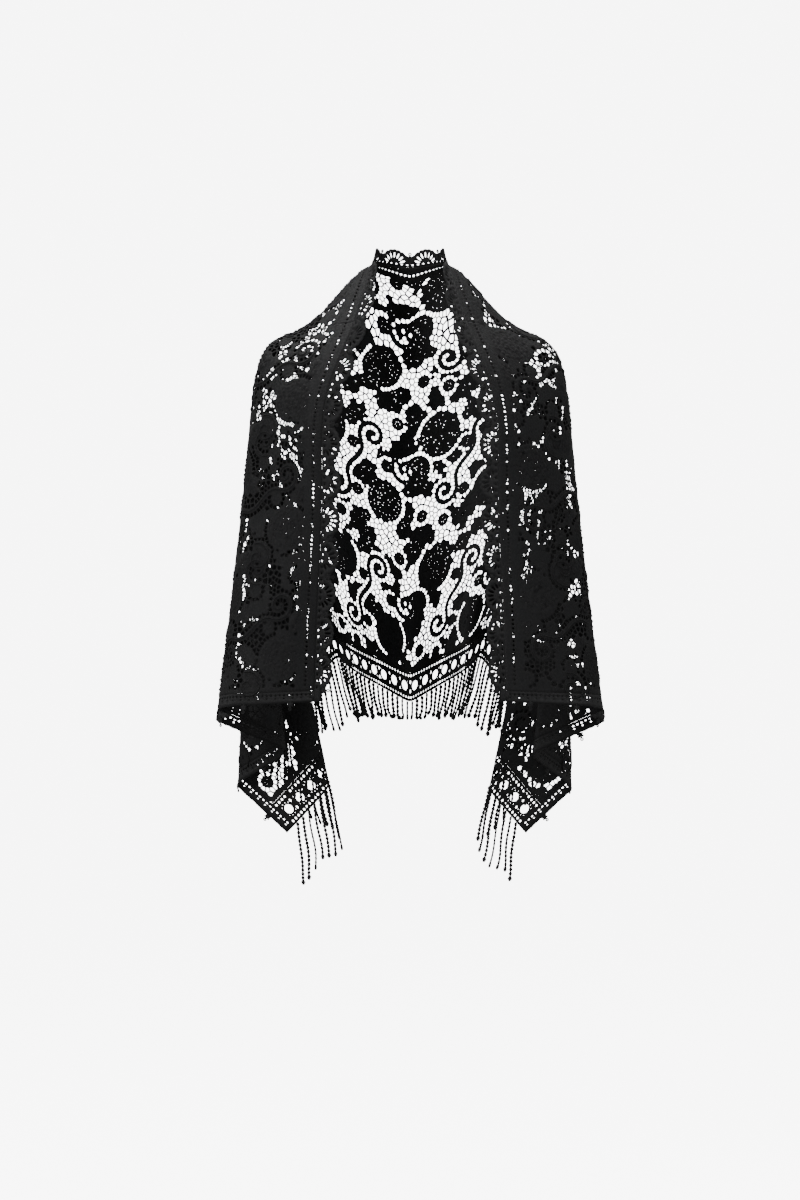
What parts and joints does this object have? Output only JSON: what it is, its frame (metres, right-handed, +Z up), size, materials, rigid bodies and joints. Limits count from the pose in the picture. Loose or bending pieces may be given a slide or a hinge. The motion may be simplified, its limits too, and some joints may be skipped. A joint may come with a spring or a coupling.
{
  "type": "lace shawl",
  "caption": "Long black lace shawl with scalloped edging and fringe, hollow and open as worn over the shoulders, ends hanging to the wrists.",
  "frame": {"origin": "where the shoulders hold the shawl: on the middle plane, level with the side of the neck", "axes": "+Z up along the wearer, -Y towards the wearer's front, +X towards the right of a viewer who faces the wearer"},
  "size_m": [0.5685, 0.3551, 0.9618],
  "materials": {
    "lace": "matt black thread lace",
    "edging": "matt black thread, denser lace",
    "cord": "matt black beaded thread"
  },
  "bodies": {
    "root": {"field_left": "lace", "field_back": "lace", "field_right": "lace", "edging_left": "edging", "edging_back": "edging", "edging_right": "edging", "header_left": "edging", "header_back": "edging", "header_right": "edging", "border_left": "edging", "border_right": "edging", "fringe_left": "cord", "fringe_back": "cord", "fringe_right": "cord"}
  },
  "joints": []
}
